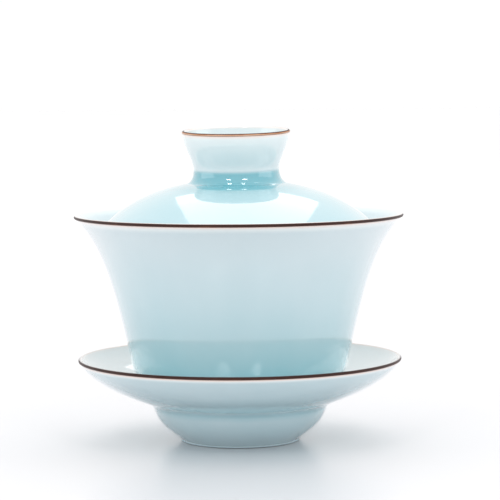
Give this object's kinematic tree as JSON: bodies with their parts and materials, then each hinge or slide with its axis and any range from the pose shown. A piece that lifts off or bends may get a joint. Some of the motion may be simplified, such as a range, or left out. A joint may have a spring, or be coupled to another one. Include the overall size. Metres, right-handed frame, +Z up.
{
  "type": "gaiwan",
  "caption": "Lidded porcelain tea bowl standing on a footed saucer, with a flared mouth, a domed lid with a ring knob, and brown rims; lid and bowl lift off.",
  "frame": {"origin": "centre of the face that the saucer's foot stands on", "axes": "+Z up along the axis that every piece is turned about; X and Y are level and interchangeable"},
  "size_m": [0.1, 0.1, 0.0945],
  "materials": {
    "sky_blue_celadon": "polished",
    "iron_brown_glaze": "gloss",
    "bare_biscuit": "matte"
  },
  "bodies": {
    "saucer": {"saucer_dish": "sky_blue_celadon", "saucer_foot": "sky_blue_celadon", "saucer_foot_edge": "bare_biscuit", "saucer_rim_band": "iron_brown_glaze"},
    "bowl": {"bowl_wall": "sky_blue_celadon", "bowl_foot_ring": "sky_blue_celadon", "bowl_foot_edge": "bare_biscuit", "bowl_rim_band": "iron_brown_glaze"},
    "lid": {"lid_dome": "sky_blue_celadon", "lid_knob": "sky_blue_celadon", "lid_edge_band": "iron_brown_glaze", "lid_knob_band": "iron_brown_glaze"}
  },
  "joints": [
    {"name": "bowl_lift", "type": "slide", "parent": "saucer", "child": "bowl", "axis": [0, 0, 1], "range_m": [0, 0.04]},
    {"name": "lid_lift", "type": "slide", "parent": "bowl", "child": "lid", "axis": [0, 0, 1], "range_m": [0, 0.04]}
  ]
}
